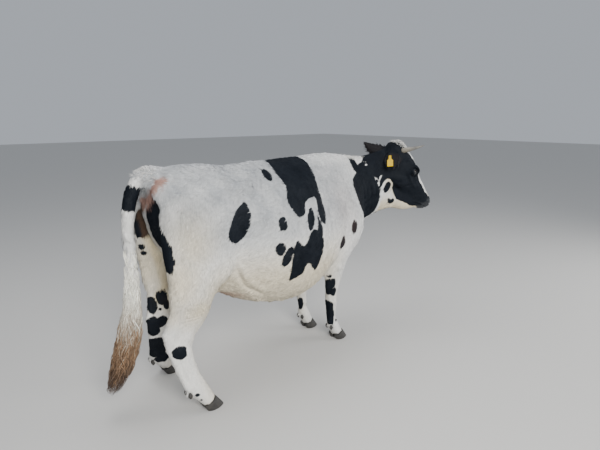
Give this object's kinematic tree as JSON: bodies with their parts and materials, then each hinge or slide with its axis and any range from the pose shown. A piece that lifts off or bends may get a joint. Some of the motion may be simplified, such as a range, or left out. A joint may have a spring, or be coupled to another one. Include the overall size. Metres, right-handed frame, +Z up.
{
  "type": "black-pied dairy cow, life-size museum model",
  "caption": "Standing black and white dairy cow with short horns, head turned to its right, long tail and one blank ear tag: a still, life-size museum model that stands on the floor.",
  "frame": {"origin": "middle of the bounding box, on the floor under the cow", "axes": "+X towards the cow's front, +Y towards its left side, +Z up from the floor"},
  "size_m": [2.5658, 0.764, 1.4573],
  "materials": {
    "coat_white": "short woolly hair, off-white with black patches",
    "coat_black": "short glossy bluish-black hair",
    "muzzle_skin": "bare moist black skin",
    "udder_skin": "thinly haired pink skin",
    "tail_hair": "long wavy hair, cream to reddish brown",
    "horn": "grey-beige horn",
    "claw": "dark hoof horn",
    "eye": "wet dark eye",
    "tag": "blank yellow plastic"
  },
  "bodies": {
    "root": {"claw_fore_left_inner": "claw", "claw_fore_left_outer": "claw", "claw_fore_right_inner": "claw", "claw_fore_right_outer": "claw", "claw_hind_left_inner": "claw", "claw_hind_left_outer": "claw", "claw_hind_right_inner": "claw", "claw_hind_right_outer": "claw", "dewclaw_fore_left_inner": "claw", "dewclaw_fore_left_outer": "claw", "dewclaw_fore_right_inner": "claw", "dewclaw_fore_right_outer": "claw", "dewclaw_hind_left_inner": "claw", "dewclaw_hind_left_outer": "claw", "dewclaw_hind_right_inner": "claw", "dewclaw_hind_right_outer": "claw", "ear_left": "coat_black", "ear_right": "coat_black", "ear_tag": "tag", "ear_tag_button": "tag", "eye_left": "eye", "eye_right": "eye", "foreleg_left_lower": "coat_white", "foreleg_left_upper": "coat_white", "foreleg_right_lower": "coat_black", "foreleg_right_upper": "coat_white", "head": "coat_black", "hindleg_left_cannon": "coat_white", "hindleg_left_hock": "coat_white", "hindleg_left_thigh": "coat_white", "hindleg_right_cannon": "coat_white", "hindleg_right_hock": "coat_white", "hindleg_right_thigh": "coat_white", "horn_left": "horn", "horn_right": "horn", "muzzle": "muzzle_skin", "neck": "coat_black", "tail_dock": "coat_white", "tail_mid": "coat_white", "tail_switch": "tail_hair", "trunk_barrel": "coat_white", "trunk_fore": "coat_white", "trunk_rump": "coat_white", "udder": "udder_skin"}
  },
  "joints": []
}
